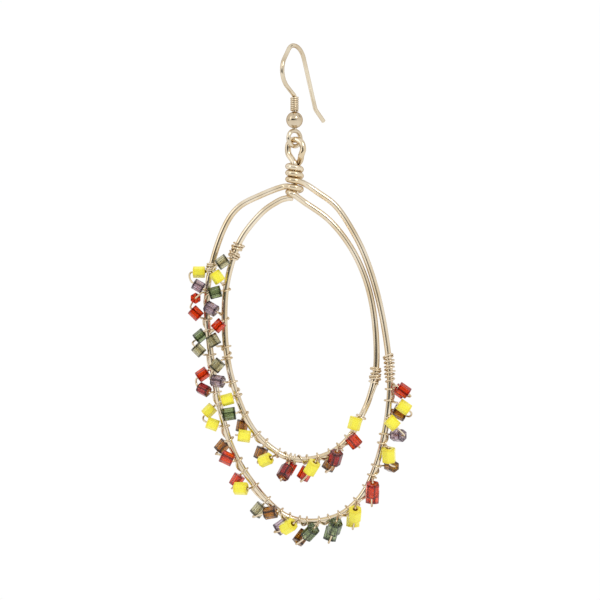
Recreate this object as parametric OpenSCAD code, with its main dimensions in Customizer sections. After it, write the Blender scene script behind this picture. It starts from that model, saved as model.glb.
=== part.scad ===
// Dangle earring. A fish-hook ear wire carries a drop of one champagne-gold wire, bent into a wrapped eye and two
// nested oval hoops. A finer wire is wound on both hoops and threaded through pairs of hexagonal glass tube beads.
// The hoops hang in the XZ plane and face -Y. The origin is the underside of the hook's bend, where the ear carries it.

/* [Ear hook] */
// Diameter of the ear wire
hook_wire = 0.75; // [0.6:0.05:0.75]
// Radius of the top bend's rear part at the middle of the wire
rear_r = 3.4; // [3.2:0.1:3.6]
// Radius of the top bend's front part at the middle of the wire
bend_r = 2.4; // [2.2:0.1:2.6]
// Length of the level crown between the two
crown_len = 0.2; // [0.2:0.1:0.4]
// Angle through which the front part runs before the wire goes straight
bend_turn = 52; // [48:1:56]
// Turn of the hook's plane about the vertical, away from the hoops' plane
hook_turn = 58; // [50:1:75]
// Outward lean of the rear leg from the vertical
leg_lean = 24.5; // [20:0.5:28]
// Straight length of the rear leg
leg_len = 9.2; // [8:0.1:11]
// Radius of the bend between the rear leg and the tip
kink_r = 1.6; // [1.4:0.2:3]
// Angle of the bend between the rear leg and the tip
kink_turn = 32; // [20:1:34]
// Straight length of the tip, which takes a slide-on ear nut
tip_len = 3; // [3:0.1:5]
// Straight length between the bend and the wider curve at the front
front_len = 2.3; // [2.1:0.1:2.5]
// Radius of the wider curve at the front
front_r = 3.3; // [3.2:0.02:3.4]
// Inward lean of the front leg from the vertical, above the coil
front_lean = 60; // [58:1:62]
// Radius of the bend where the front leg enters the coil
corner_r = 0.5; // [0.45:0.05:0.6]
// Height of the middle of the hook's eye
hook_eye_z = -16.32; // [-16.36:0.01:-16.32]
// Radius of the hook's eye at the middle of the wire
hook_eye_r = 1.4; // [1.35:0.05:1.4]
// Turn of the hook's eye about the vertical
hook_eye_turn = 40; // [30:1:50]

/* [Coil and ball] */
// Diameter of the coil's wire
coil_wire = 0.32; // [0.24:0.02:0.32]
// Radius of the coil at the middle of its wire
coil_r = 0.61; // [0.6:0.01:0.7]
// Turns of the coil
coil_turns = 7; // [5:1:7]
// Rise of each turn
coil_pitch = 0.34; // [0.34:0.01:0.35]
// Diameter of the ball
ball_d = 3; // [2.8:0.1:3]
// Height of the ball's middle
ball_z = -13; // [-13:0.05:-12.9]

/* [Frame wire] */
// Diameter of the wire of the eye and the hoops
frame_wire = 1.1; // [0.9:0.05:1.1]
// Turn of the hanging eye about the vertical
eye_turn = -30; // [-40:1:-25]
// Radius of the wrapped turns at the middle of the wire
wrap_r = 1.13; // [1.12:0.01:1.2]
// Sides of the drawn wire's section
frame_sides = 8; // [6:2:12]
// Sections drawn between two knots of a hoop
hoop_steps = 5; // [4:1:8]

/* [Binding wire] */
// Diameter of the fine wire
bind_wire = 0.34; // [0.24:0.02:0.36]
// Radius of its turns round a hoop
bind_r = 0.84; // [0.84:0.01:0.9]
// Advance of one tight turn along a hoop
bind_pitch = 0.5; // [0.45:0.05:0.55]

/* [Beads] */
// Width of a plain-sized hexagonal bead across its corners
bead_w = 2.15; // [1.8:0.05:2.15]
// Length of a plain-sized bead
bead_len = 2.15; // [1.8:0.05:2.2]
// Diameter of every bead's bore
bead_bore = 0.8; // [0.6:0.05:1]

/* [Hidden] */

GOLD = [0.86, 0.77, 0.62];
YELLOW = "yellow";
RED = "red";
GARNET = "garnet";
AMBER = "amber";
GREEN = "green";
OLIVE = "olive";
MAUVE = "mauve";

round_fn = 48;
// How far a straight of the ear wire reaches into a bend, and how much thicker the bend is
bend_reach = 0.1;
bend_extra = 0.02;
crown_z = (hook_wire + bend_extra) / 2;

// The hanging eye, seen square to its own plane: [across, height], from the foot of the stem over the top and down
EYE_KNOTS = [[0, -27.2], [0, -25.4], [0, -23.2], [0, -21.1], [-0.4, -20.2], [-1.25, -19], [-1.3, -17.6],
             [-0.7, -16.72], [0.4, -16.58], [1.4, -17.12], [1.78, -18.3], [1.4, -19.4]];

// Outer hoop in its plane, clockwise from the wraps: [across, height]
OUTER_KNOTS = [[4.07, -25.94], [7.42, -28.47], [10.28, -32.65], [12.71, -37.54],
               [14.82, -44.05], [16.43, -52.01], [17.2, -60], [16.6, -67.2], [14.9, -74.5], [12.5, -80],
               [9, -83.6], [5, -85.1], [1, -85.1], [-2.6, -83.6], [-6.9, -79.2], [-10.9, -72.8],
               [-13.4, -64.8], [-15, -55.6], [-15.8, -46], [-14.81, -38.82], [-12.6, -32.29], [-10, -28.64],
               [-5.93, -26.49], [-2.3, -25.1]];

// Inner hoop in its plane, clockwise from the stem: [across, height]
INNER_KNOTS = [[1.71, -27.74], [6.37, -31.14], [10.24, -36.1], [12.94, -42.05], [14.41, -49.01], [14.74, -57],
               [13.6, -62.6], [12, -66.4], [9.8, -70.2], [6.6, -72.9], [2.6, -74.1], [-1.4, -73.7],
               [-5.2, -71.2], [-8, -67.9], [-10.1, -63.3], [-11.7, -58], [-12.5, -52], [-12.5, -45],
               [-11.5, -39.4], [-9.5, -34.2], [-6, -29.8], [-3, -27.65], [-1.3, -27.05]];

// Beads in the order the fine wire reaches them, two to a loop:
// [across, height, depth, heading of the wire in the hoops' plane, its lean to the rear, size, glass], and
// after these the point that the wire passes on its way back, where a bead stands in that way
OUTER_BEADS = [
    [19.5, -61.6, -1.1, -35, 0, 1.05, RED],       [19.05, -61.9, 1.52, 145, 0, 1, RED],
    [19.6, -64.6, -1.2, -35, 0, 1.05, YELLOW],    [19, -65.8, 1.45, 155, 0, 1.15, AMBER],
    [17.5, -67.4, -1.9, -45, 0, 1.05, YELLOW],   [18.64, -69.72, -0.35, 180, 45, 1.1, MAUVE],
    [16.9, -73.2, -1.5, -87, 12, 1.2, YELLOW],    [17.5, -75.4, 1.1, 180, 65, 1.05, AMBER],
    [13.9, -79.3, -2.16, -93, 25, 1.2, RED],       [14.1, -81, 1.74, 87, 0, 1.15, RED],
    [10.8, -83.7, -2.04, -93, 35, 1.15, YELLOW],    [10.6, -85.2, 1.7, 87, 0, 1.15, YELLOW],
    [7.2, -86, -1.9, -105, 38, 1.2, GREEN],       [6.6, -87.8, 2.36, 75, 0, 1.15, GREEN],
    [2.8, -87, -1.62, -130, 35, 1.2, GREEN],       [1.2, -88.4, 1.94, 50, 25, 1.15, AMBER],
    [-1.1, -85.9, -1.94, -145, 35, 1.15, YELLOW],  [-2.3, -86.4, 1.6, 35, 0, 1.15, MAUVE],
    [-4.3, -83.4, -1.98, 192, 16, 1.1, AMBER],     [-6.5, -83.3, 1, 50, 0, 1.1, OLIVE],
    [-9.6, -79.2, -1.1, 180, 15, 1.1, YELLOW],    [-10.4, -78, 1.34, 60, 0, 1.05, RED],
    [-12.1, -73.7, -1.64, 155, 0, 1.1, RED],       [-13.1, -71.9, 1.57, 50, 0, 1.05, AMBER],
    [-14.7, -67.7, -0.9, 160, 0, 1, YELLOW],      [-15.4, -65.4, 0.9, 45, 0, 1, YELLOW],
    [-16.28, -61.52, -0.5, 155, 25, 1, GARNET],      [-16.55, -58.8, 0.4, 35, 0, 1, RED],
    [-17.2, -54.4, -0.5, 135, 0, 0.95, OLIVE],    [-17.05, -51.9, 1.55, 40, 0, 1, GREEN],
    [-17.73, -47.77, -0.5, 135, 0, 1, RED],        [-17.7, -45.08, -1.3, 0, -88, 0.95, RED, [-16.5, -2.7, -44.05]],
    [-17.2, -42.9, -1.49, 150, 0, 0.95, MAUVE],    [-17.22, -40.38, 0.3, 0, 0, 1, YELLOW]
];
INNER_BEADS = [
    [10.8, -67.5, -1.75, -105, 0, 1.1, YELLOW],   [10.6, -70.63, -2.12, -50, 0, 1.1, RED, [11.7, -0.7, -71.9]],
    [7.3, -73.6, -2.11, -105, 25, 1.15, GARNET],    [6.4, -75.1, 1.6, 60, 0, 1.1, AMBER],
    [3.1, -75.4, -1.85, -120, 20, 1.15, YELLOW],    [1.9, -76.8, 1.3, 60, 0, 1.1, RED],
    [-0.95, -75.7, 1.49, -120, 0, 1.05, RED],       [-1.7, -76.2, -1.95, 60, 35, 1.15, GARNET],
    [-5.2, -74.1, -1, -155, 25, 1.05, YELLOW],     [-6.1, -73.1, 1.58, 70, 0, 1.05, AMBER],
    [-9, -69.8, -1, 172, 0, 1.05, YELLOW],        [-9.5, -68.2, 1.53, 80, 0, 1, AMBER],
    [-11.7, -65.8, -1.8, 188, 0, 1.1, GREEN],    [-12, -63.2, -1.8, 15, 0, 1, YELLOW],
    [-13.7, -59.9, -2, 172, 20, 1.05, MAUVE],   [-13.8, -57.1, -1.94, 50, 0, 1, OLIVE],
    [-14.5, -52.6, -1.7, 120, 0, 1, OLIVE],       [-13.6, -50, -1.8, 45, 0, 0.95, RED],
    [-14.86, -46.95, -1.95, 150, 15, 1.05, MAUVE],      [-14.2, -44.05, -1.83, 15, 0, 1, GREEN],
    [-13.8, -41.3, -1.75, 125, 0, 1, YELLOW],     [-12.9, -38.6, -1.8, 35, 0, 1, OLIVE]
];

function unit(v) = v / norm(v);
function mix(a, b, t) = a + (b - a) * t;
function last(list) = list[len(list) - 1];

// A smooth curve through every knot but the first and the last, which only steer its ends
function curve_point(a, b, c, d, t) =
    0.5 * (2 * b + (c - a) * t + (2 * a - 5 * b + 4 * c - d) * t * t + (3 * b - 3 * c + d - a) * t * t * t);
function curve(knots, steps) = [
    for (i = [1:len(knots) - 3]) for (k = [0:steps - 1])
        curve_point(knots[i - 1], knots[i], knots[i + 1], knots[i + 2], k / steps),
    knots[len(knots) - 2]
];
function bezier(a, b, c, d, t) =
    mix(mix(mix(a, b, t), mix(b, c, t), t), mix(mix(b, c, t), mix(c, d, t), t), t);

// A turn or more about the stem, from one angle to another, with the heights at both ends
function stem_turn(from, to, z0, z1, step) = [
    for (a = [from:step:to])
        [wrap_r * cos(a), wrap_r * sin(a), mix(z0, z1, (a - from) / (to - from))]
];

// A wire swept along a path as one closed solid. Its section is carried along without twist.
function tangents(path) = [
    for (i = [0:len(path) - 1]) unit(path[min(i + 1, len(path) - 1)] - path[max(i - 1, 0)])
];
function across(t) = abs(t.y) < 0.9 ? unit(cross(t, [0, 1, 0])) : unit(cross(t, [1, 0, 0]));
function square_to(n, t) = unit(n - (n * t) * t);
function carried(dirs) = [
    for (i = 0, n = across(dirs[0]); i < len(dirs);
         n = square_to(n, dirs[min(i + 1, len(dirs) - 1)]), i = i + 1) n
];
module swept_wire(path, d, sides) {
    dirs = tangents(path);
    normals = carried(dirs);
    rings = len(path);
    points = [
        for (i = [0:rings - 1]) for (k = [0:sides - 1])
            let (a = 360 * k / sides)
                path[i] + d / 2 * (cos(a) * normals[i] + sin(a) * cross(dirs[i], normals[i]))
    ];
    walls = [
        for (i = [0:rings - 2]) for (k = [0:sides - 1])
            let (a = i * sides + k, b = i * sides + (k + 1) % sides)
                each [[a, a + sides, b + sides], [a, b + sides, b]]
    ];
    ends = [[for (k = [0:sides - 1]) k], [for (k = [sides - 1:-1:0]) (rings - 1) * sides + k]];
    polyhedron(points, concat(walls, ends), convexity = 10);
}

// Stations along a path, as lengths from its start
function lengths(path) = [
    for (i = 0, s = 0; i < len(path); s = s + norm(path[min(i + 1, len(path) - 1)] - path[i]), i = i + 1) s
];
function axis_table(path, stations, axis) = [for (i = [0:len(path) - 1]) [stations[i], path[i][axis]]];
function place(tables, s) = [for (table = tables) lookup(s, table)];
function nearest(path, stations, p) =
    let (
        found = [
            for (i = [0:len(path) - 2])
                let (run = path[i + 1] - path[i], t = max(0, min(1, (p - path[i]) * run / (run * run))))
                    [norm(p - path[i] - t * run), stations[i] + t * norm(run)]
        ],
        least = min([for (f = found) f[0]])
    ) [for (f = found) if (f[0] == least) f[1]][0];

// Turns of the fine wire round a hoop: [station, angle from the hoop's outer side] in even steps
function turns(s0, s1, a0, a1, steps) = [for (k = [0:steps]) [mix(s0, s1, k / steps), mix(a0, a1, k / steps)]];
function outward(tables, s) =
    let (way = place(tables, s + 0.2) - place(tables, s - 0.2)) unit([-way.z, 0, way.x]);
function wound(tables, turn) =
    place(tables, turn[0]) + bind_r * (cos(turn[1]) * outward(tables, turn[0]) + [0, -sin(turn[1]), 0]);
function facing(tables, s, p) =
    let (off = p - place(tables, s)) atan2(-off.y, off * outward(tables, s));

WAY_BACK = 7;
LOOP_REACH = 0.32;
LOOP_STEPS = 4;
OVER = 0.22;
LEANING = 15;
STANDS_OFF = 1;
function bead_place(bead) = [bead[0], bead[2], bead[1]];
function bead_way(bead) = [cos(bead[3]) * cos(bead[4]), sin(bead[4]), sin(bead[3]) * cos(bead[4])];
function bead_end(bead, side) = bead_place(bead) + side * bead[5] * bead_len / 2 * bead_way(bead);

// The loop through one pair of beads: out through the first and back through the second. Where an end face of a
// leaning bead looks away from the hoop, the wire first passes over that face's edge.
function lead(bead, side) = bead_end(bead, side) + side * LEAD * bead_way(bead);
function over(bead, side) =
    let (way = bead_way(bead), far = lead(bead, side), inward = [0, far.y < 0 ? 1 : -1, 0])
        far + (bead[5] * bead_w / 2 + OVER) * square_to(inward, way);
function leans_off(bead, side) =
    abs(bead[4]) >= LEANING && side * sign(bead[4]) * bead_end(bead, side).y > STANDS_OFF;
function pair_loop(a, b) =
    let (reach = LOOP_REACH * norm(lead(a, 1) - lead(b, -1)))
        concat(
            leans_off(a, -1) ? [over(a, -1)] : [],
            [lead(a, -1)],
            [
                for (k = [0:LOOP_STEPS])
                    bezier(lead(a, 1), lead(a, 1) + reach * bead_way(a),
                           lead(b, -1) - reach * bead_way(b), lead(b, -1), k / LOOP_STEPS)
            ],
            [lead(b, 1)],
            len(b) > WAY_BACK ? [b[WAY_BACK]] : leans_off(b, 1) ? [over(b, 1)] : []
        );

// The fine wire of one hoop. It starts with a coil at one station, passes every pair, and ends in another coil.
LEAD = 0.3;
TURN_STEPS = 8;
RUN_STEP = 60;
LEAST_RUN = 1.2;
PAIR_HALF = 0.3;
function pair_stations(path, stations, a, b) =
    let (
        sa = nearest(path, stations, pair_loop(a, b)[0]),
        sb = nearest(path, stations, last(pair_loop(a, b))),
        middle = (sa + sb) / 2
    ) [min(sa, middle - PAIR_HALF), max(sb, middle + PAIR_HALF)];
function wrapped(angle) = angle - 360 * floor(angle / 360);
function binding(path, beads, start_s, start_turns, start_pitch, end_turns) =
    let (
        stations = lengths(path),
        tables = [for (axis = [0:2]) axis_table(path, stations, axis)],
        pairs = len(beads) / 2,
        ends = [for (i = [0:pairs - 1]) pair_stations(path, stations, beads[2 * i], beads[2 * i + 1])],
        leave = [
            for (i = [0:pairs - 1])
                facing(tables, ends[i][0], pair_loop(beads[2 * i], beads[2 * i + 1])[0])
        ],
        arrive = [
            for (i = [0:pairs - 1])
                facing(tables, ends[i][1], last(pair_loop(beads[2 * i], beads[2 * i + 1])))
        ],
        coil_end = start_s + start_turns * start_pitch
    )
        concat(
            [
                for (turn = turns(start_s, coil_end, 0, 360 * start_turns, TURN_STEPS * start_turns))
                    wound(tables, turn)
            ],
            [
                for (i = [0:pairs - 1])
                    let (
                        before = i == 0 ? coil_end : ends[i - 1][1],
                        a0 = i == 0 ? 0 : arrive[i - 1],
                        room = ends[i][0] - before,
                        tight = i > 0 && room > 2 * bind_pitch + LEAST_RUN ? 1 : 0,
                        run0 = before + tight * bind_pitch,
                        run1 = ends[i][0] - tight * bind_pitch,
                        ahead = wrapped(leave[i] - a0),
                        sweep = ahead + (ahead < 150 && room > bind_pitch ? 360 : 0),
                        steps = max(2, ceil(sweep / RUN_STEP))
                    )
                        each concat(
                            tight > 0 ? [
                                for (turn = turns(before, run0, a0, a0 + 360, TURN_STEPS)) wound(tables, turn)
                            ] : [],
                            [
                                for (k = [1 - tight:steps - 1])
                                    wound(tables, [mix(run0, run1, k / steps), a0 + sweep * k / steps])
                            ],
                            tight > 0 ? [
                                for (turn = turns(run1, ends[i][0], leave[i], leave[i] + 360, TURN_STEPS))
                                    wound(tables, turn)
                            ] : [wound(tables, [ends[i][0], leave[i]])],
                            pair_loop(beads[2 * i], beads[2 * i + 1]),
                            [wound(tables, [ends[i][1], arrive[i]])]
                        )
            ],
            [
                for (k = [1:TURN_STEPS * end_turns])
                    wound(tables, [last(ends)[1] + bind_pitch * k / TURN_STEPS,
                                   last(arrive) + 360 * k / TURN_STEPS])
            ]
        );

function flat(knots) = [for (k = knots) [k[0], 0, k[1]]];
function turned(knots, angle) = [for (k = knots) [k[0] * cos(angle), k[0] * sin(angle), k[1]]];

// The frame wire's three stretches. The eye's wire goes behind the stem into three wrapped turns.
eye_path = concat(
    curve(concat(turned(EYE_KNOTS, eye_turn), [[1, 0.3, -20.3], [0.29, wrap_r, -20.95], [-wrap_r, 0, -21.4]]), 4),
    stem_turn(105, 915, -21.1, -23.7, 22.5)
);
outer_path = concat(
    stem_turn(948, 998, -23.82, -24.02, 10),
    curve(
        concat(
            [[-0.1, -wrap_r, -24], [0.57, -0.99, -24.06], [2.05, -0.25, -24.62]],
            flat(OUTER_KNOTS),
            [[-0.62, -1, -25.1], [0.3, -wrap_r, -25.2]]
        ),
        hoop_steps
    ),
    stem_turn(-105, 175, -25.2, -25.95, 20)
);
inner_path = concat(
    stem_turn(210, 262, -26.05, -26.45, 13),
    curve(concat([[0.2, -0.8, -26.8]], flat(INNER_KNOTS), [[-0.4, 0.1, -27], [0.8, 0, -26.8]]), hoop_steps)
);

// The straight and bent stretches of the ear wire, in the hook's own plane: across is X, height is Y. A bend is a
// hair thicker than the straights, which reach a little way into it.
module hook_straight(from, to, into_start = bend_reach, into_end = bend_reach) {
    run = to - from;
    translate(from - into_start * unit(run))
        rotate([0, 0, atan2(run.y, run.x)])
            rotate([0, 90, 0])
                cylinder(d = hook_wire, h = norm(run) + into_start + into_end, $fn = round_fn);
}
module hook_bend(centre, radius, from, to) {
    translate(centre)
        rotate([0, 0, from])
            rotate_extrude(angle = to - from, $fn = 2 * round_fn)
                translate([radius, 0])
                    circle(d = hook_wire + bend_extra, $fn = round_fn);
}
function polar(centre, radius, angle) = centre + radius * [cos(angle), sin(angle)];

module ear_hook() {
    crown = crown_len / 2;
    rear_centre = [crown, crown_z - rear_r];
    centre = [-crown, crown_z - bend_r];
    bend_end = 90 + bend_turn;
    leg_top = polar(rear_centre, rear_r, leg_lean);
    leg_foot = leg_top + leg_len * [sin(leg_lean), -cos(leg_lean)];
    kink = polar(leg_foot, kink_r, leg_lean);
    tip_top = polar(kink, kink_r, 180 + leg_lean + kink_turn);
    tip_lean = leg_lean + kink_turn;
    tip = tip_top + tip_len * [sin(tip_lean), -cos(tip_lean)];
    shoulder = polar(centre, bend_r, bend_end);
    curve_top = shoulder + front_len * [-sin(bend_end), cos(bend_end)];
    curve_centre = polar(curve_top, front_r, 180 + bend_end);
    front_top = polar(curve_centre, front_r, 180 + front_lean);
    corner_x = -corner_r;
    front_run = (polar([corner_x, 0], corner_r, front_lean).x - front_top.x) / sin(front_lean);
    front_foot = front_top + front_run * [sin(front_lean), -cos(front_lean)];
    corner = polar(front_foot, corner_r, 180 + front_lean);
    color(GOLD)
        union() {
            rotate([0, 0, hook_turn])
                rotate([90, 0, 0]) {
                    hook_bend(rear_centre, rear_r, leg_lean, 90);
                    hook_straight([crown, crown_z], [-crown, crown_z], bend_reach / 2, bend_reach / 2);
                    hook_bend(centre, bend_r, 90, bend_end);
                    hook_straight(shoulder, curve_top);
                    hook_bend(curve_centre, front_r, bend_end, 180 + front_lean);
                    hook_straight(leg_top, leg_foot);
                    hook_bend(kink, kink_r, 180 + leg_lean, 180 + leg_lean + kink_turn);
                    hook_straight(tip_top, tip, bend_reach, 0);
                    hook_straight(front_top, front_foot);
                    hook_bend(corner, corner_r, 0, front_lean);
                    hook_straight([0, corner.y], [0, hook_eye_z + hook_eye_r], bend_reach, 0);
                }
            translate([0, 0, hook_eye_z])
                rotate([90, 0, hook_eye_turn])
                    hook_bend([0, 0], hook_eye_r, 0, 360);
        }
}

module hook_coil() {
    ring_steps = 10;
    foot = ball_z + ball_d / 2 + coil_wire / 2;
    color(GOLD)
        swept_wire(
            [
                for (k = [0:ring_steps * coil_turns])
                    let (a = 360 * k / ring_steps)
                        [coil_r * cos(a), coil_r * sin(a), foot + coil_pitch * k / ring_steps]
            ],
            coil_wire, 6
        );
}

module hook_ball() {
    color(GOLD)
        difference() {
            translate([0, 0, ball_z])
                sphere(d = ball_d, $fn = 2 * round_fn);
            translate([0, 0, ball_z - ball_d])
                cylinder(d = hook_wire + 0.1, h = 2 * ball_d, $fn = round_fn);
        }
}

module hanger_eye() {
    color(GOLD)
        swept_wire(eye_path, frame_wire, frame_sides);
}

module outer_hoop() {
    color(GOLD)
        swept_wire(outer_path, frame_wire, frame_sides);
}

module inner_hoop() {
    color(GOLD)
        swept_wire(inner_path, frame_wire, frame_sides);
}

module outer_binding() {
    start = nearest(outer_path, lengths(outer_path), [17, 0, -55.5]);
    color(GOLD)
        swept_wire(binding(outer_path, OUTER_BEADS, start, 9, 0.55, 4), bind_wire, 5);
}

module inner_binding() {
    start = nearest(inner_path, lengths(inner_path), [14.8, 0, -57.7]);
    color(GOLD)
        swept_wire(binding(inner_path, INNER_BEADS, start, 5, 0.7, 3.5), bind_wire, 5);
}

module bead(row) {
    way = bead_way(row);
    translate(bead_place(row))
        rotate([0, 0, atan2(way.y, way.x)])
            rotate([0, 90 - asin(way.z), 0])
                difference() {
                    cylinder(d = row[5] * bead_w, h = row[5] * bead_len, center = true, $fn = 6);
                    cylinder(d = bead_bore, h = 2 * bead_len, center = true, $fn = 24);
                }
}

module beads(glass) {
    for (row = concat(OUTER_BEADS, INNER_BEADS))
        if (row[6] == glass)
            bead(row);
}

module yellow_beads() {
    color([0.96, 0.89, 0.25]) beads(YELLOW);
}
module red_beads() {
    color([0.78, 0.16, 0.1]) beads(RED);
}
module garnet_beads() {
    color([0.6, 0.1, 0.13]) beads(GARNET);
}
module amber_beads() {
    color([0.6, 0.32, 0.08]) beads(AMBER);
}
module green_beads() {
    color([0.3, 0.42, 0.25]) beads(GREEN);
}
module olive_beads() {
    color([0.55, 0.52, 0.33]) beads(OLIVE);
}
module mauve_beads() {
    color([0.6, 0.5, 0.56]) beads(MAUVE);
}

ear_hook();
hook_coil();
hook_ball();
hanger_eye();
outer_hoop();
inner_hoop();
outer_binding();
inner_binding();
yellow_beads();
red_beads();
garnet_beads();
amber_beads();
green_beads();
olive_beads();
mauve_beads();
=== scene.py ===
"""Dangle earring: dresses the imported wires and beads.

Routes, beads and radii are in millimetres, in the frame of part.scad, and the meshes are in metres.
"""
import math
from collections import namedtuple

import bmesh
import bpy
import numpy as np
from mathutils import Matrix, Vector


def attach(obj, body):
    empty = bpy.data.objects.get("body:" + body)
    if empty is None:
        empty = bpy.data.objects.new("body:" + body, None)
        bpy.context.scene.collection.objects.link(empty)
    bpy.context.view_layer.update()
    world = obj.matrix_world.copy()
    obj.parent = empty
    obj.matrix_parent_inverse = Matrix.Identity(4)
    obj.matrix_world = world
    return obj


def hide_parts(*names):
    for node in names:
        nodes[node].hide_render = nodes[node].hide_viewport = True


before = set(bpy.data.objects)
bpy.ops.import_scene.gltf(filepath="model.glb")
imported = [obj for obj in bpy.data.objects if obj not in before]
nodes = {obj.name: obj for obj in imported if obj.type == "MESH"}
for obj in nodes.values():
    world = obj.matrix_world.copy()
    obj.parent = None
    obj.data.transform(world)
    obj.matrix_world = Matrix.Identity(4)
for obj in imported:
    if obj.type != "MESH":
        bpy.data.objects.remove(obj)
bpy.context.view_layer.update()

MM = 0.001

# Camera, light and stage, in metres

CAMERA_DISTANCE = 0.3
CAMERA_X = 0.00099
CAMERA_Z = -0.0454
VIEW_WIDTH = 0.108
SENSOR = 36.0
CLIP_START = 0.01

LIGHT_AIM = (0, 0, -0.045)
# Name, place, width and height, power
LIGHTS = [("key", (0.17, -0.3, 0.2), (0.11, 0.11), 0.26), ("fill", (-0.3, -0.2, 0.1), (0.12, 0.3), 0.12)]

# The studio is white all round. Dark patches in it draw the dark lines in the wires and the glass. For each:
# the way to it, how flat it is, its radius, the softness of its edge and how much of the light it leaves.
STUDIO_STRENGTH = 0.95
DARK_PATCHES = [
    ((-0.5, -0.86, -0.03), 2.3, 0.58, 0.14, 0.1),
    ((0.16, -0.94, -0.3), 1.0, 0.46, 0.2, 0.34),
    ((0.75, 0.25, 0.62), 1.0, 0.26, 0.1, 0.3),
    ((-0.98, 0.1, -0.3), 1.0, 0.4, 0.2, 0.35),
    ((0.1, -0.45, -0.9), 1.0, 0.5, 0.25, 0.5),
]

FLOOR_Z = -0.112
FLOOR_FRONT_Y = -0.6
BACKDROP_Y = 0.34
BACKDROP_TOP_Z = 0.9
BACKDROP_HALF_WIDTH = 0.9
SWEEP_R = 0.2
SWEEP_STEPS = 16
PAPER_GLOW = 1.01


def make_camera():
    data = bpy.data.cameras.new("camera")
    data.lens = SENSOR * CAMERA_DISTANCE / VIEW_WIDTH
    data.sensor_width = SENSOR
    data.dof.use_dof = False
    data.clip_start = CLIP_START
    camera = bpy.data.objects.new("camera", data)
    camera.location = (CAMERA_X, -CAMERA_DISTANCE, CAMERA_Z)
    camera.rotation_euler = (math.radians(90), 0, 0)
    bpy.context.collection.objects.link(camera)
    bpy.context.scene.camera = camera


def area_light(name, place, size, power):
    data = bpy.data.lights.new(name, "AREA")
    data.shape = "RECTANGLE"
    data.size, data.size_y = size
    data.energy = power
    lamp = bpy.data.objects.new(name, data)
    lamp.location = place
    lamp.rotation_euler = (Vector(LIGHT_AIM) - Vector(place)).to_track_quat("-Z", "Y").to_euler()
    bpy.context.collection.objects.link(lamp)


def dark_patch(tree, place, way, flat_by, radius, soft, left):
    """The share of light in each direction: what the patch leaves inside it, and all of it elsewhere."""
    squashed = tree.nodes.new("ShaderNodeVectorMath")
    squashed.operation = "MULTIPLY"
    squashed.inputs[1].default_value = (1, 1, flat_by)
    tree.links.new(place, squashed.inputs[0])
    apart = tree.nodes.new("ShaderNodeVectorMath")
    apart.operation = "DISTANCE"
    middle = Vector(way).normalized()
    apart.inputs[1].default_value = (middle.x, middle.y, middle.z * flat_by)
    tree.links.new(squashed.outputs["Vector"], apart.inputs[0])
    fade = tree.nodes.new("ShaderNodeMapRange")
    fade.interpolation_type = "SMOOTHSTEP"
    fade.inputs["From Min"].default_value = radius - soft
    fade.inputs["From Max"].default_value = radius + soft
    fade.inputs["To Min"].default_value = left
    fade.inputs["To Max"].default_value = 1.0
    tree.links.new(apart.outputs["Value"], fade.inputs["Value"])
    return fade.outputs["Result"]


def make_lights():
    for light in LIGHTS:
        area_light(*light)
    world = bpy.data.worlds.new("studio")
    world.use_nodes = True
    tree = world.node_tree
    place = tree.nodes.new("ShaderNodeTexCoord").outputs["Generated"]
    tone = None
    for patch in DARK_PATCHES:
        share = dark_patch(tree, place, *patch)
        if tone is None:
            tone = share
        else:
            both = tree.nodes.new("ShaderNodeMath")
            both.operation = "MULTIPLY"
            tree.links.new(tone, both.inputs[0])
            tree.links.new(share, both.inputs[1])
            tone = both.outputs["Value"]
    background = tree.nodes["Background"]
    tree.links.new(tone, background.inputs["Color"])
    background.inputs["Strength"].default_value = STUDIO_STRENGTH
    bpy.context.scene.world = world
    view = bpy.context.scene.view_settings
    view.view_transform = "Standard"
    view.look = "None"


def make_stage():
    """A white sweep under and behind the earring, which is lit evenly to white, whatever stands before it."""
    sweep_y, sweep_z = BACKDROP_Y - SWEEP_R, FLOOR_Z + SWEEP_R
    profile = [(FLOOR_FRONT_Y, FLOOR_Z), (sweep_y, FLOOR_Z)]
    for k in range(1, SWEEP_STEPS + 1):
        a = math.pi / 2 * k / SWEEP_STEPS
        profile.append((sweep_y + SWEEP_R * math.sin(a), sweep_z - SWEEP_R * math.cos(a)))
    profile.append((BACKDROP_Y, BACKDROP_TOP_Z))
    verts = [(x, y, z) for y, z in profile for x in (-BACKDROP_HALF_WIDTH, BACKDROP_HALF_WIDTH)]
    faces = [(2 * i, 2 * i + 1, 2 * i + 3, 2 * i + 2) for i in range(len(profile) - 1)]
    mesh = bpy.data.meshes.new("backdrop")
    mesh.from_pydata(verts, [], faces)
    mesh.polygons.foreach_set("use_smooth", [True] * len(mesh.polygons))
    sheet = bpy.data.objects.new("backdrop", mesh)
    bpy.context.collection.objects.link(sheet)
    paper = Graph("paper")
    paper.set(Base_Color=(0, 0, 0, 1), Roughness=1.0, Specular_IOR_Level=0.0, Emission_Color=(1, 1, 1, 1),
              Emission_Strength=PAPER_GLOW)
    mesh.materials.append(paper.material)


# Materials

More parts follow.
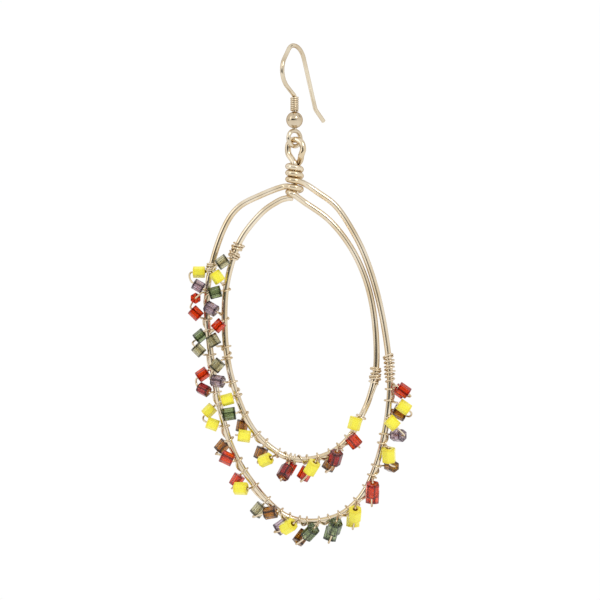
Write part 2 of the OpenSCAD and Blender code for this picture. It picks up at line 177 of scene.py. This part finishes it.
class Graph:
    """A material's node tree, with the few calls that the materials below need."""

    def __init__(self, name):
        self.material = bpy.data.materials.new(name)
        self.material.use_nodes = True
        self.tree = self.material.node_tree
        self.shader = self.tree.nodes["Principled BSDF"]

    def set(self, **values):
        for key, value in values.items():
            self.shader.inputs[key.replace("_", " ")].default_value = value

    def node(self, kind, **settings):
        made = self.tree.nodes.new(kind)
        for key, value in settings.items():
            setattr(made, key, value)
        return made

    def link(self, out, into):
        self.tree.links.new(out, into)

    def math(self, operation, first, number):
        """The result of one operation on an output and a number."""
        made = self.node("ShaderNodeMath", operation=operation)
        self.link(first, made.inputs[0])
        made.inputs[1].default_value = number
        return made.outputs["Value"]

    def ramp(self, factor, stops):
        made = self.node("ShaderNodeValToRGB")
        ramp = made.color_ramp
        while len(ramp.elements) < len(stops):
            ramp.elements.new(0.5)
        for element, (at, colour) in zip(ramp.elements, stops):
            element.position = at
            element.color = (*colour, 1)
        self.link(factor, made.inputs["Fac"])
        return made.outputs["Color"]

    def noise(self, source, scale, stretch, detail):
        place = self.node("ShaderNodeTexCoord")
        mapping = self.node("ShaderNodeMapping")
        mapping.inputs["Scale"].default_value = stretch
        self.link(place.outputs[source], mapping.inputs["Vector"])
        made = self.node("ShaderNodeTexNoise")
        made.inputs["Scale"].default_value = scale
        made.inputs["Detail"].default_value = detail
        self.link(mapping.outputs["Vector"], made.inputs["Vector"])
        return made.outputs["Fac"]

    def uv(self, axis):
        parts = self.node("ShaderNodeSeparateXYZ")
        self.link(self.node("ShaderNodeTexCoord").outputs["UV"], parts.inputs["Vector"])
        return parts.outputs[axis]

    def multiplied(self, first, second):
        mix = self.node("ShaderNodeMix", data_type="RGBA", blend_type="MULTIPLY")
        mix.inputs[0].default_value = 1.0
        self.link(first, mix.inputs[6])
        self.link(second, mix.inputs[7])
        return mix.outputs[2]


GOLD_EDGE = (0.48, 0.36, 0.25)
FRAME_TONES = ((0.72, 0.58, 0.38), (0.86, 0.76, 0.6))
HOOK_TONES = ((0.62, 0.51, 0.36), (0.8, 0.71, 0.55))
TONE_SCALE = 200


def gold(name, tones, source, stretch, least_rough, most_rough):
    """Champagne plating: its tone drifts a little from place to place, and so does its polish."""
    g = Graph(name)
    g.set(Metallic=1.0, Specular_Tint=(*GOLD_EDGE, 1))
    tone = g.noise("Object", TONE_SCALE, (1, 1, 1), 3.0)
    g.link(g.ramp(tone, [(0.35, tones[0]), (0.65, tones[1])]), g.shader.inputs["Base Color"])
    spread = g.node("ShaderNodeMapRange")
    spread.inputs["To Min"].default_value = least_rough
    spread.inputs["To Max"].default_value = most_rough
    g.link(g.noise(source, 1.0, stretch, 3.0), spread.inputs["Value"])
    g.link(spread.outputs["Result"], g.shader.inputs["Roughness"])
    return g.material


BORE_V = 2.5


def along_bead(g, body, rim, heart):
    """The tint by the mesh's own V: 0 to 1 along the sides, 1.6 by the mouth, and 2 or more in the bore."""
    # The rim tint at both ends of the sides, and the end tint halfway to it on the end faces, darken the
    # ends: painted shade for the clear glass, only a deeper yellow for the lemon glass
    end = tuple(0.5 * (a + b) for a, b in zip(rim, body))
    stops = [
        (0.0, rim), (0.055, rim), (0.175, body), (0.825, body), (0.945, rim),
        (1.1, end), (1.5, end), (1.65, heart),
    ]
    return g.ramp(g.math("DIVIDE", g.uv("Y"), BORE_V), [(at / BORE_V, tint) for at, tint in stops])


FACETS = 6
CORD_DEPTH = 0.09


def facet_shade_and_highlights(g, edge):
    """A veil by the mesh's own U, once round the tube: painted shade at its six edges, and painted highlight
    streaks, corded, within each face.
    """
    cords = g.node("ShaderNodeMath", operation="MULTIPLY_ADD")
    g.link(g.noise("UV", 1.0, (11, 0.6, 1), 2.0), cords.inputs[0])
    cords.inputs[1].default_value = CORD_DEPTH
    g.link(g.uv("X"), cords.inputs[2])
    fold = g.math("PINGPONG", cords.outputs["Value"], 1 / (2 * FACETS))
    # Stops round each face: painted shade by the six edges, as dark as edge sets, and painted highlight
    # streaks where the factor goes above 1
    edge_shade_and_streak_stops = [
        (0.0, edge), (0.12, 1.5 * edge), (0.24, 1.0), (0.38, 0.6),
        (0.52, 1.8), (0.68, 1.1), (0.84, 0.75), (1.0, 1.6),
    ]
    return g.ramp(g.math("MULTIPLY", fold, 2.0 * FACETS), [(at, (v, v, v)) for at, v in edge_shade_and_streak_stops])


def glass(name, body, rim, heart, clear, edge):
    """Tinted glass: painted shade at its rims, end faces and edges, painted highlight streaks along its
    faces, and a paler heart round the bore.
    """
    g = Graph(name)
    g.set(IOR=1.5, Transmission_Weight=clear, Specular_IOR_Level=0.5, Roughness=0.02)
    g.link(g.multiplied(along_bead(g, body, rim, heart), facet_shade_and_highlights(g, edge)), g.shader.inputs["Base Color"])
    return g.material


def milk_glass(name, body, rim, heart):
    """Opaque lemon glass with a satin skin and deeper yellow at its ends."""
    g = Graph(name)
    g.set(Roughness=0.3, IOR=1.5, Coat_Weight=0.3, Coat_Roughness=0.1)
    cloud = g.noise("UV", 1.0, (5, 0.5, 1), 2.0)
    veil = g.ramp(cloud, [(0.35, (0.92, 0.9, 0.85)), (0.6, (1.0, 1.0, 1.0))])
    g.link(g.multiplied(along_bead(g, body, rim, heart), veil), g.shader.inputs["Base Color"])
    return g.material


# Curves

def unit(v):
    return v / np.linalg.norm(v)


def vec(*v):
    return np.array(v, float)


def curve(knots, steps):
    """A smooth curve through every knot but the first and the last, which only steer its ends."""
    made = []
    for i in range(1, len(knots) - 2):
        a, b, c, d = knots[i - 1:i + 3]
        for k in range(steps):
            t = k / steps
            made.append(0.5 * (2 * b + (c - a) * t + (2 * a - 5 * b + 4 * c - d) * t * t
                               + (3 * b - 3 * c + d - a) * t ** 3))
    made.append(knots[-2])
    return made


def bezier(a, b, c, d, t):
    return (1 - t) ** 3 * a + 3 * (1 - t) ** 2 * t * b + 3 * (1 - t) * t * t * c + t ** 3 * d


# Points nearer to each other are left out
LEAST_STEP = 0.01
# How far a wire's end goes on and how narrow it gets there, as shares of its radius
END_REACH = 0.3
END_SHARE = 0.6


def swept_mesh(name, path, radius, sides):
    """A wire of round section with softened ends, and UVs: U round it, V along it in metres."""
    kept = [path[0]]
    for p in path[1:]:
        if np.linalg.norm(p - kept[-1]) > LEAST_STEP:
            kept.append(p)
    path = np.array(kept)
    ways = np.gradient(path, axis=0)
    ways /= np.linalg.norm(ways, axis=1)[:, None]
    path = np.vstack([path[0] - ways[0] * END_REACH * radius, path, path[-1] + ways[-1] * END_REACH * radius])
    radii = np.full(len(path), radius)
    radii[[0, -1]] = END_SHARE * radius
    ways = np.vstack([ways[0], ways, ways[-1]])
    aside = vec(0, 1, 0) if abs(ways[0][1]) < 0.9 else vec(1, 0, 0)
    normal = unit(np.cross(ways[0], aside))
    bm = bmesh.new()
    uv = bm.loops.layers.uv.new("wire")
    rings, along, length = [], [], 0.0
    for i, (p, way) in enumerate(zip(path, ways)):
        normal = unit(normal - normal.dot(way) * way)
        side = np.cross(way, normal)
        length += np.linalg.norm(p - path[i - 1]) if i else 0.0
        along.append(length * MM)
        rings.append([
            bm.verts.new(tuple(MM * (p + radii[i] * (math.cos(a) * normal + math.sin(a) * side))))
            for a in (2 * math.pi * k / sides for k in range(sides))
        ])
    for i in range(len(rings) - 1):
        for k in range(sides):
            j = (k + 1) % sides
            face = bm.faces.new((rings[i][k], rings[i][j], rings[i + 1][j], rings[i + 1][k]))
            face.smooth = True
            for loop, (u, v) in zip(face.loops, ((k, i), (k + 1, i), (k + 1, i + 1), (k, i + 1))):
                loop[uv].uv = (u / sides, along[v])
    bm.faces.new(list(reversed(rings[0]))).smooth = True
    bm.faces.new(rings[-1]).smooth = True
    bm.normal_update()
    mesh = bpy.data.meshes.new(name)
    bm.to_mesh(mesh)
    bm.free()
    return mesh


def piece(name, mesh, material, body, replaced):
    made = bpy.data.objects.new(name, mesh)
    bpy.context.collection.objects.link(made)
    mesh.materials.append(material)
    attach(made, body)
    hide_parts(*replaced)


# The frame wire's route, as part.scad has it

FRAME_R = 0.55
BIND_R = 0.17
WRAP_R = 1.13
EYE_TURN = math.radians(-30)

EYE_KNOTS = [(0, -27.2), (0, -25.4), (0, -23.2), (0, -21.1), (-0.4, -20.2), (-1.25, -19), (-1.3, -17.6),
             (-0.7, -16.72), (0.4, -16.58), (1.4, -17.12), (1.78, -18.3), (1.4, -19.4)]
OUTER_KNOTS = [(4.07, -25.94), (7.42, -28.47), (10.28, -32.65), (12.71, -37.54), (14.82, -44.05),
               (16.43, -52.01), (17.2, -60), (16.6, -67.2), (14.9, -74.5), (12.5, -80), (9, -83.6),
               (5, -85.1), (1, -85.1), (-2.6, -83.6), (-6.9, -79.2), (-10.9, -72.8), (-13.4, -64.8),
               (-15, -55.6), (-15.8, -46), (-14.81, -38.82), (-12.6, -32.29), (-10, -28.64), (-5.93, -26.49),
               (-2.3, -25.1)]
INNER_KNOTS = [(1.71, -27.74), (6.37, -31.14), (10.24, -36.1), (12.94, -42.05), (14.41, -49.01), (14.74, -57),
               (13.6, -62.6), (12, -66.4), (9.8, -70.2), (6.6, -72.9), (2.6, -74.1), (-1.4, -73.7),
               (-5.2, -71.2), (-8, -67.9), (-10.1, -63.3), (-11.7, -58), (-12.5, -52), (-12.5, -45),
               (-11.5, -39.4), (-9.5, -34.2), (-6, -29.8), (-3, -27.65), (-1.3, -27.05)]


def stem_turn(start, end, z0, z1, step):
    """A turn about the stem, from one angle to another in degrees, with the heights at both ends."""
    count = int(round((end - start) / step))
    made = []
    for k in range(count + 1):
        a = math.radians(start + (end - start) * k / count)
        made.append(vec(WRAP_R * math.cos(a), WRAP_R * math.sin(a), z0 + (z1 - z0) * k / count))
    return made


def flat(knots):
    return [vec(x, 0, z) for x, z in knots]


def eye_path(steps):
    """Up the stem, round the eye, and down in wrapped turns."""
    turned = [vec(x * math.cos(EYE_TURN), x * math.sin(EYE_TURN), z) for x, z in EYE_KNOTS]
    ends = [vec(1, 0.3, -20.3), vec(0.29, WRAP_R, -20.95), vec(-WRAP_R, 0, -21.4)]
    return curve(turned + ends, steps) + stem_turn(105, 915, -21.1, -23.7, 15)


def outer_path(steps):
    """From the wraps round the outer hoop, and once round the stem under it."""
    starts = [vec(-0.1, -WRAP_R, -24), vec(0.57, -0.99, -24.06), vec(2.05, -0.25, -24.62)]
    ends = [vec(-0.62, -1, -25.1), vec(0.3, -WRAP_R, -25.2)]
    return (stem_turn(930, 998, -23.76, -24.02, 10)
            + curve(starts + flat(OUTER_KNOTS) + ends, steps)
            + stem_turn(-105, 205, -25.2, -26.03, 14))


def inner_path(steps):
    """From the turn under the outer hoop round the inner one, to the wire's end at the stem's foot."""
    start, ends = vec(0.2, -0.8, -26.8), [vec(-0.4, 0.1, -27), vec(0.8, 0, -26.8)]
    return stem_turn(210, 262, -26.05, -26.45, 13) + curve([start] + flat(INNER_KNOTS) + ends, steps)


# The beads, as part.scad has them

YELLOW, RED, GARNET, AMBER = "yellow", "red", "garnet", "amber"
GREEN, OLIVE, MAUVE = "green", "olive", "mauve"

# The heading is the wire's in the plane of the hoops, and the lean is its tilt to the rear, both in degrees.
# Where a row has one more entry, the wire passes that point on its way back to the hoop.
Bead = namedtuple("Bead", "across height depth heading lean size glass back", defaults=(None,))

OUTER_BEADS = [Bead(*row) for row in (
    (19.5, -61.6, -1.1, -35, 0, 1.05, RED),        (19.05, -61.9, 1.52, 145, 0, 1, RED),
    (19.6, -64.6, -1.2, -35, 0, 1.05, YELLOW),     (19, -65.8, 1.45, 155, 0, 1.15, AMBER),
    (17.5, -67.4, -1.9, -45, 0, 1.05, YELLOW),     (18.64, -69.72, -0.35, 180, 45, 1.1, MAUVE),
    (16.9, -73.2, -1.5, -87, 12, 1.2, YELLOW),     (17.5, -75.4, 1.1, 180, 65, 1.05, AMBER),
    (13.9, -79.3, -2.16, -93, 25, 1.2, RED),       (14.1, -81, 1.74, 87, 0, 1.15, RED),
    (10.8, -83.7, -2.04, -93, 35, 1.15, YELLOW),   (10.6, -85.2, 1.7, 87, 0, 1.15, YELLOW),
    (7.2, -86, -1.9, -105, 38, 1.2, GREEN),        (6.6, -87.8, 2.36, 75, 0, 1.15, GREEN),
    (2.8, -87, -1.62, -130, 35, 1.2, GREEN),       (1.2, -88.4, 1.94, 50, 25, 1.15, AMBER),
    (-1.1, -85.9, -1.94, -145, 35, 1.15, YELLOW),  (-2.3, -86.4, 1.6, 35, 0, 1.15, MAUVE),
    (-4.3, -83.4, -1.98, 192, 16, 1.1, AMBER),     (-6.5, -83.3, 1, 50, 0, 1.1, OLIVE),
    (-9.6, -79.2, -1.1, 180, 15, 1.1, YELLOW),     (-10.4, -78, 1.34, 60, 0, 1.05, RED),
    (-12.1, -73.7, -1.64, 155, 0, 1.1, RED),       (-13.1, -71.9, 1.57, 50, 0, 1.05, AMBER),
    (-14.7, -67.7, -0.9, 160, 0, 1, YELLOW),       (-15.4, -65.4, 0.9, 45, 0, 1, YELLOW),
    (-16.28, -61.52, -0.5, 155, 25, 1, GARNET),    (-16.55, -58.8, 0.4, 35, 0, 1, RED),
    (-17.2, -54.4, -0.5, 135, 0, 0.95, OLIVE),     (-17.05, -51.9, 1.55, 40, 0, 1, GREEN),
    (-17.73, -47.77, -0.5, 135, 0, 1, RED),
    (-17.7, -45.08, -1.3, 0, -88, 0.95, RED, (-16.5, -2.7, -44.05)),
    (-17.2, -42.9, -1.49, 150, 0, 0.95, MAUVE),    (-17.22, -40.38, 0.3, 0, 0, 1, YELLOW),
)]
INNER_BEADS = [Bead(*row) for row in (
    (10.8, -67.5, -1.75, -105, 0, 1.1, YELLOW),
    (10.6, -70.63, -2.12, -50, 0, 1.1, RED, (11.7, -0.7, -71.9)),
    (7.3, -73.6, -2.11, -105, 25, 1.15, GARNET),   (6.4, -75.1, 1.6, 60, 0, 1.1, AMBER),
    (3.1, -75.4, -1.85, -120, 20, 1.15, YELLOW),   (1.9, -76.8, 1.3, 60, 0, 1.1, RED),
    (-0.95, -75.7, 1.49, -120, 0, 1.05, RED),      (-1.7, -76.2, -1.95, 60, 35, 1.15, GARNET),
    (-5.2, -74.1, -1, -155, 25, 1.05, YELLOW),     (-6.1, -73.1, 1.58, 70, 0, 1.05, AMBER),
    (-9, -69.8, -1, 172, 0, 1.05, YELLOW),         (-9.5, -68.2, 1.53, 80, 0, 1, AMBER),
    (-11.7, -65.8, -1.8, 188, 0, 1.1, GREEN),      (-12, -63.2, -1.8, 15, 0, 1, YELLOW),
    (-13.7, -59.9, -2, 172, 20, 1.05, MAUVE),      (-13.8, -57.1, -1.94, 50, 0, 1, OLIVE),
    (-14.5, -52.6, -1.7, 120, 0, 1, OLIVE),        (-13.6, -50, -1.8, 45, 0, 0.95, RED),
    (-14.86, -46.95, -1.95, 150, 15, 1.05, MAUVE), (-14.2, -44.05, -1.83, 15, 0, 1, GREEN),
    (-13.8, -41.3, -1.75, 125, 0, 1, YELLOW),      (-12.9, -38.6, -1.8, 35, 0, 1, OLIVE),
)]

BEAD_W = 2.15
BEAD_LEN = 2.15
# How far the wire goes straight on out of a bead, how wide it turns between two beads, and how far from the
# edge of an end face it passes
LEAD = 0.22
LOOP_REACH = 0.26
OVER = 0.22
# The wire goes over the end face of a bead that leans by so many degrees and stands off the hoops by so much
LEANING = 15
STANDS_OFF = 1


def bead_place(bead):
    return vec(bead.across, bead.depth, bead.height)


def bead_way(bead):
    heading, lean = math.radians(bead.heading), math.radians(bead.lean)
    return vec(math.cos(heading) * math.cos(lean), math.sin(lean), math.sin(heading) * math.cos(lean))


def lead(bead, side):
    """The point that the wire passes outside a bead's end: the far one for side 1, the near one for -1."""
    return bead_place(bead) + side * (bead.size * BEAD_LEN / 2 + LEAD) * bead_way(bead)


def over(bead, side):
    """The point where the wire passes over the edge of a leaning bead's end face."""
    way, far = bead_way(bead), lead(bead, side)
    inward = vec(0, 1 if far[1] < 0 else -1, 0)
    return far + (bead.size * BEAD_W / 2 + OVER) * unit(inward - inward.dot(way) * way)


def leans_off(bead, side):
    end = bead_place(bead) + side * bead.size * BEAD_LEN / 2 * bead_way(bead)
    return abs(bead.lean) >= LEANING and side * math.copysign(1, bead.lean) * end[1] > STANDS_OFF


def pair_loop(a, b, steps):
    """Out through the first bead of a pair and back through the second."""
    turn_in, turn_out = lead(a, 1), lead(b, -1)
    reach = LOOP_REACH * np.linalg.norm(turn_in - turn_out)
    made = [over(a, -1)] if leans_off(a, -1) else []
    made.append(lead(a, -1))
    knots = turn_in, turn_in + reach * bead_way(a), turn_out - reach * bead_way(b), turn_out
    made += [bezier(*knots, k / steps) for k in range(steps + 1)]
    made.append(lead(b, 1))
    if b.back:
        made.append(vec(*b.back))
    elif leans_off(b, 1):
        made.append(over(b, 1))
    return made


# The fine wire

class Route:
    """A hoop's middle line, by length along it."""

    SPAN = 0.2

    def __init__(self, path):
        self.path = np.array(path)
        steps = np.linalg.norm(np.diff(self.path, axis=0), axis=1)
        self.stations = np.concatenate([[0], np.cumsum(steps)])

    def at(self, s):
        return vec(*(np.interp(s, self.stations, self.path[:, k]) for k in range(3)))

    def outward(self, s):
        way = self.at(s + self.SPAN) - self.at(s - self.SPAN)
        return unit(vec(-way[2], 0, way[0]))

    def wound(self, s, angle, radius):
        a = math.radians(angle)
        return self.at(s) + radius * (math.cos(a) * self.outward(s) + vec(0, -math.sin(a), 0))

    def facing(self, s, p):
        off = p - self.at(s)
        return math.degrees(math.atan2(-off[1], off.dot(self.outward(s))))

    def nearest(self, p):
        best, found = math.inf, 0.0
        for i in range(len(self.path) - 1):
            run = self.path[i + 1] - self.path[i]
            t = min(1.0, max(0.0, (p - self.path[i]).dot(run) / run.dot(run)))
            gap = np.linalg.norm(p - self.path[i] - t * run)
            if gap < best:
                best, found = gap, self.stations[i] + t * np.linalg.norm(run)
        return found


WOUND_R = 0.75
SKIN = 0.015
BIND_PITCH = 0.36
KNOT_LOOSE = 0.12
# Half the least way along the hoop between the wire's leaving it for a pair of beads and its coming back
PAIR_HALF = 0.3
# A run between two pairs has room for a turn beside each of them if it is longer than both turns and this
LEAST_RUN = 1.2
# Angles round the hoop, in degrees: a turn, the step between points, and the sweep below which a run takes a
# turn more
TURN = 360
WIND_STEP = 18.0
LEAST_SWEEP = 150
# Also in degrees, the sweep on the way to a coil, before the beads and after them
WAY_IN = 200
WAY_ON = 180
LOOP_STEPS = 10


def wind(route, s0, s1, a0, a1, loose=0.0):
    """Wire wound from one station and angle to another.

    Loose wire stands off the hoop and tilts, by amounts that drift along it, so that no two turns are alike.
    """
    count = max(2, int(math.ceil(abs(a1 - a0) / WIND_STEP)))
    made = []
    for k in range(count + 1):
        t = k / count
        a = a0 + (a1 - a0) * t
        fade = min(1.0, 6 * t, 6 * (1 - t))
        swing = math.sin(math.radians(0.83 * a) + 2.1 * s0) * math.sin(math.radians(0.29 * a) + s0)
        off = WOUND_R + SKIN + fade * loose * (0.35 + 0.65 * abs(swing))
        phase = math.radians(a) + 1.7 * s0 + 0.9 * math.sin(math.radians(0.37 * a))
        tilt = fade * loose * 0.8 * math.sin(phase)
        made.append(route.wound(s0 + (s1 - s0) * t + tilt, a, off))
    return made


def coils(route, at, angle, rows, way):
    """A row of coils, and the station and angle where it ends. The way is the angle turned in each gap."""
    path = []
    for gap, turns, pitch, loose in rows:
        if gap:
            path += wind(route, at, at + gap, angle, angle + way)
            at, angle = at + gap, angle + way
        path += wind(route, at, at + turns * pitch, angle, angle + TURN * turns, loose)
        at, angle = at + turns * pitch, angle + TURN * turns
    return path, at, angle


def binding(route, beads, start, first, after):
    """The fine wire of one hoop: coils, then each pair of beads, then more coils.

    Where there is room between two pairs, the wire makes a turn of its own beside each of them.
    """
    loops = [pair_loop(a, b, LOOP_STEPS) for a, b in zip(beads[::2], beads[1::2])]
    path, before, angle = coils(route, start, 0.0, first, WAY_IN)
    for i, loop in enumerate(loops):
        sa, sb = route.nearest(loop[0]), route.nearest(loop[-1])
        leave_s, arrive_s = min(sa, (sa + sb) / 2 - PAIR_HALF), max(sb, (sa + sb) / 2 + PAIR_HALF)
        leave, arrive = route.facing(leave_s, loop[0]), route.facing(arrive_s, loop[-1])
        room = leave_s - before
        roomy = room > 2 * BIND_PITCH + LEAST_RUN
        knot_in = BIND_PITCH if roomy and i > 0 else 0.0
        knot_out = (BIND_PITCH if i > 0 else BIND_PITCH / 2) if roomy else 0.0
        ahead = (leave - angle) % TURN
        sweep = ahead + (TURN if ahead < LEAST_SWEEP and room > BIND_PITCH and not roomy else 0)
        if knot_in:
            path += wind(route, before, before + knot_in, angle, angle + TURN, KNOT_LOOSE)
        path += wind(route, before + knot_in, leave_s - knot_out, angle, angle + sweep)[1:]
        if knot_out:
            path += wind(route, leave_s - knot_out, leave_s, leave, leave + TURN, KNOT_LOOSE)[1:]
        path += loop
        path.append(route.wound(arrive_s, arrive, WOUND_R))
        before, angle = arrive_s, arrive
    return path + coils(route, before, angle, after, WAY_ON)[0][1:]


def evened(path, step):
    """The same route with points an even step apart and its corners cut, ends kept."""
    path = np.array(path)
    runs = np.linalg.norm(np.diff(path, axis=0), axis=1)
    path = path[np.concatenate([[True], runs > 1e-6])]
    stations = np.concatenate([[0], np.cumsum(np.linalg.norm(np.diff(path, axis=0), axis=1))])
    wanted = np.linspace(0, stations[-1], max(2, int(stations[-1] / step)))
    path = np.stack([np.interp(wanted, stations, path[:, k]) for k in range(3)], axis=1)
    return np.vstack([path[:1], (path[:-2] + 2 * path[1:-1] + path[2:]) / 4, path[-1:]])


# Bead meshes

SIDES = 48
BEVEL = 0.11
BORE_R = 0.4
TIGHT_BORE_R = 0.2
END_ON = 80
MOUTH = 1.22
BORE_SHOWN = 0.1
UNEVEN = 0.03
SHARP_ANGLE = math.radians(24)
# V at the near and far ring of each band: mouth, end face, bevels, sides, bevels, end face, mouth and bore
BANDS = [
    (2, 1.6), (1.6, 1.1), (1.02, 1), (1, 1), (0, 1), (1, 1), (1, 1.02), (1.1, 1.6), (1.6, 2), (2, BORE_V),
]


def hexagon(width, shrink, corner):
    """A hexagon whose corners are cut back by a little, as points round the axis."""
    apothem = width / 2 * math.cos(math.pi / 6) - shrink
    most = apothem / math.cos(math.pi / 6) - corner
    made = []
    for k in range(SIDES):
        a = 2 * math.pi * (k + 0.5) / SIDES
        reach = min(apothem / math.cos(a % (math.pi / 3) - math.pi / 6), most)
        made.append((reach * math.cos(a), reach * math.sin(a)))
    return made


def circle(radius):
    angles = [2 * math.pi * (k + 0.5) / SIDES for k in range(SIDES)]
    return [(radius * math.cos(a), radius * math.sin(a)) for a in angles]


def bead_rings(bead, uneven):
    """The outlines of one bead from its near end to its far one, each with its height on the bead's axis."""
    width, half = bead.size * BEAD_W, bead.size * BEAD_LEN / 2
    bore = circle(TIGHT_BORE_R if abs(bead.lean) > END_ON else BORE_R)
    mouth = [(MOUTH * u, MOUTH * v) for u, v in bore]
    rim, bevel = hexagon(width, BEVEL, 0.05), hexagon(width, 0.3 * BEVEL, 0.04)
    body = hexagon(width, 0, 0.035)
    near = [(bore, BORE_SHOWN), (mouth, 0), (rim, 0), (bevel, 0.35 * BEVEL), (body, BEVEL)]
    return ([(outline, -half + inset) for outline, inset in near]
            + [(outline, half - inset + uneven) for outline, inset in reversed(near)])


def bead_mesh(name, beads):
    """Six-sided glass tubes with softened edges and a round bore, one loose part for each bead."""
    bm = bmesh.new()
    uv = bm.loops.layers.uv.new("tube")
    for index, bead in enumerate(beads):
        way, place = bead_way(bead), bead_place(bead)
        heading = math.atan2(way[1], way[0])
        tilt = math.pi / 2 - math.asin(max(-1.0, min(1.0, way[2])))
        x_axis = vec(math.cos(tilt) * math.cos(heading), math.cos(tilt) * math.sin(heading), -math.sin(tilt))
        y_axis = np.cross(way, x_axis)
        uneven = UNEVEN * math.sin(7.0 * index + bead.across)
        rings = [
            [bm.verts.new(tuple(MM * (place + u * x_axis + v * y_axis + z * way))) for u, v in outline]
            for outline, z in bead_rings(bead, uneven)
        ]
        for i, (low, high) in enumerate(BANDS):
            lower, upper = rings[i], rings[(i + 1) % len(rings)]
            for k in range(SIDES):
                j = (k + 1) % SIDES
                face = bm.faces.new((lower[k], lower[j], upper[j], upper[k]))
                face.smooth = True
                u0, u1 = k / SIDES + index, (k + 1) / SIDES + index
                for loop, spot in zip(face.loops, ((u0, low), (u1, low), (u1, high), (u0, high))):
                    loop[uv].uv = spot
    bmesh.ops.recalc_face_normals(bm, faces=bm.faces)
    bm.normal_update()
    mesh = bpy.data.meshes.new(name)
    bm.to_mesh(mesh)
    bm.free()
    mesh.set_sharp_from_angle(angle=SHARP_ANGLE)
    return mesh


# The pieces

COIL_TURNS = 7
COIL_PITCH = 0.34
COIL_R = 0.61
COIL_WIRE_R = 0.16
COIL_STEPS = 32
BALL_Z = -13
BALL_R = 1.5
FRAME_STEPS = 12
ROUTE_STEPS = 8
THREAD_STEP = 0.12
FRAME_SIDES = 20
COIL_SIDES = 12
THREAD_SIDES = 8

# Where each hoop's fine wire starts, and its coils before and after the beads: (gap, turns, pitch, how loose)
OUTER_START = vec(17, 0, -55.3)
OUTER_FIRST = [(0, 1, 0.3, 0.3), (0, 6, 0.66, 0.16)]
OUTER_AFTER = [(0.1, 4, 0.4, 0.12)]
INNER_START = vec(14.8, 0, -57.7)
INNER_FIRST = [(0, 2, 0.3, 0.25), (0.5, 3, 0.3, 0.32), (0.4, 1, 0.4, 0.1)]
INNER_AFTER = [(0.3, 3, 0.32, 0.32), (0.7, 3, 0.32, 0.36)]

# For each glass its body, rim and heart, how clear it is and how light its six edges are; the near-black rims
# and the dark edges are painted shade
TINTS_AND_PAINTED_SHADE = {
    RED: ((0.95, 0.075, 0.01), (0.4, 0.015, 0.008), (0.98, 0.3, 0.03), 0.68, 0.12),
    GARNET: ((0.5, 0.035, 0.04), (0.07, 0.006, 0.01), (0.95, 0.55, 0.08), 0.7, 0.06),
    AMBER: ((0.5, 0.2, 0.012), (0.03, 0.01, 0.003), (0.95, 0.5, 0.04), 0.7, 0.06),
    GREEN: ((0.3, 0.38, 0.18), (0.008, 0.018, 0.007), (0.7, 0.78, 0.55), 0.8, 0.04),
    OLIVE: ((0.56, 0.52, 0.31), (0.04, 0.038, 0.02), (0.8, 0.75, 0.55), 0.82, 0.3),
    MAUVE: ((0.58, 0.45, 0.52), (0.04, 0.022, 0.036), (0.85, 0.7, 0.7), 0.82, 0.25),
}
LEMON_TINT = ((0.98, 0.9, 0.06), (0.9, 0.76, 0.03), (0.6, 0.4, 0.02))


def coil_path():
    foot = BALL_Z + BALL_R + COIL_WIRE_R
    path = []
    for k in range(COIL_TURNS * COIL_STEPS + 1):
        a = 2 * math.pi * k / COIL_STEPS
        path.append(vec(COIL_R * math.cos(a), COIL_R * math.sin(a), foot + COIL_PITCH * k / COIL_STEPS))
    return path


def build():
    wire = gold("champagne_wire", FRAME_TONES, "UV", (12, 300, 1), 0.06, 0.14)
    fine = gold("champagne_fine_wire", FRAME_TONES, "UV", (8, 500, 1), 0.06, 0.12)
    pin = gold("champagne_pin", HOOK_TONES, "Object", (900, 900, 100), 0.08, 0.16)
    ball = gold("champagne_ball", HOOK_TONES, "Object", (300, 300, 300), 0.05, 0.09)
    for name, material in (("ear_hook", pin), ("hook_ball", ball)):
        nodes[name].data.materials.clear()
        nodes[name].data.materials.append(material)

    coil = swept_mesh("coil_wire", coil_path(), COIL_WIRE_R, COIL_SIDES)
    piece("coil_wire", coil, fine, "hook", ["hook_coil"])
    whole = eye_path(FRAME_STEPS) + outer_path(FRAME_STEPS) + inner_path(FRAME_STEPS)
    piece("frame_wire", swept_mesh("frame_wire", whole, FRAME_R, FRAME_SIDES), wire, "drop",
          ["hanger_eye", "outer_hoop", "inner_hoop"])

    for name, node, hoop, beads, start, first, after in (
        ("outer_thread", "outer_binding", outer_path, OUTER_BEADS, OUTER_START, OUTER_FIRST, OUTER_AFTER),
        ("inner_thread", "inner_binding", inner_path, INNER_BEADS, INNER_START, INNER_FIRST, INNER_AFTER),
    ):
        route = Route(hoop(ROUTE_STEPS))
        path = evened(binding(route, beads, route.nearest(start), first, after), THREAD_STEP)
        piece(name, swept_mesh(name, path, BIND_R, THREAD_SIDES), fine, "drop", [node])

    glasses = {YELLOW: milk_glass("lemon_glass", *LEMON_TINT)}
    for tint, values in TINTS_AND_PAINTED_SHADE.items():
        glasses[tint] = glass(tint + "_glass", *values)
    for tint, material in glasses.items():
        beads = [bead for bead in OUTER_BEADS + INNER_BEADS if bead.glass == tint]
        name, node = tint + "_tubes", tint + "_beads"
        piece(name, bead_mesh(name, beads), material, "drop", [node])


make_camera()
make_lights()
make_stage()
build()
